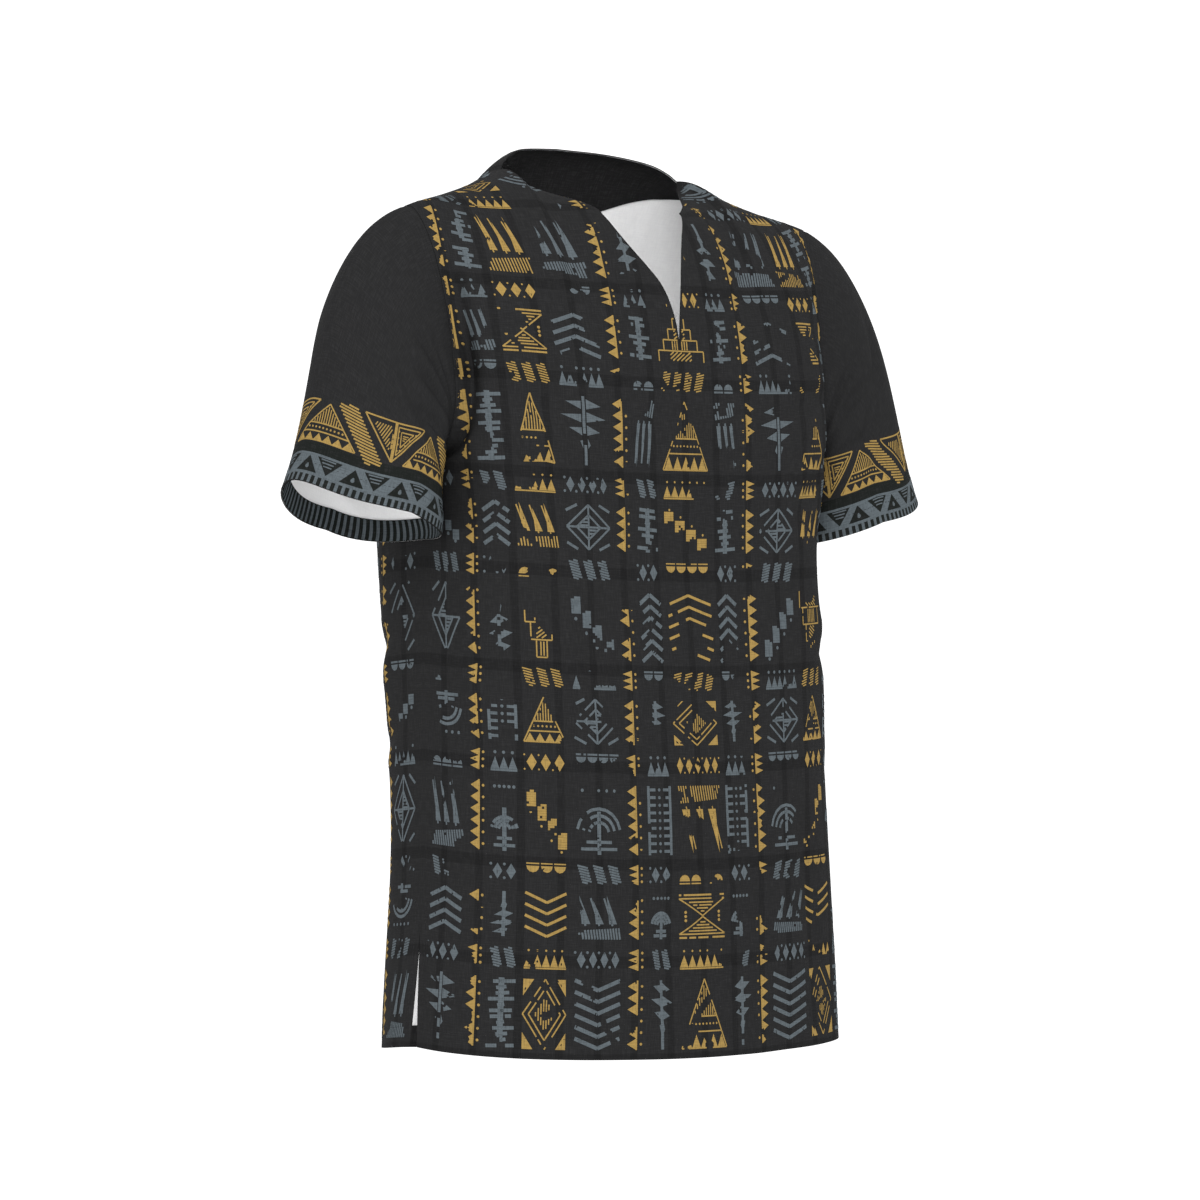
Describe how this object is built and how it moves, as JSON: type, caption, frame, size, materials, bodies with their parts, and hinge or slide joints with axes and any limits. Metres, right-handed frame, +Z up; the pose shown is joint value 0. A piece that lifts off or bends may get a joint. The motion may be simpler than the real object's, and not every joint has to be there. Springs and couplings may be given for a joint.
{
  "type": "dashiki shirt",
  "caption": "Short-sleeved pullover shirt with a slit neck, printed cloth and side vents, filled out as if worn, open at neck, cuffs and hem.",
  "frame": {"origin": "midway between the two high shoulder points, where the neckline meets the shoulder seams and the wearer's shoulders hold the shirt", "axes": "+Z up, the front faces -Y, +X to the wearer's left"},
  "size_m": [0.661, 0.2463, 0.7526],
  "materials": {
    "body_cloth": "matt charcoal plain-weave cotton with a printed gold and slate pattern, pale wrong side",
    "sleeve_cloth": "matt charcoal plain-weave cotton with a printed border at the hem, pale wrong side",
    "facing_cloth": "matt black plain-weave cotton"
  },
  "bodies": {
    "root": {"front": "body_cloth", "back": "body_cloth", "hem_front": "body_cloth", "hem_back": "body_cloth", "sleeve_right": "sleeve_cloth", "sleeve_left": "sleeve_cloth", "cuff_turn_right": "sleeve_cloth", "cuff_turn_left": "sleeve_cloth", "neck_facing": "facing_cloth"}
  },
  "joints": []
}
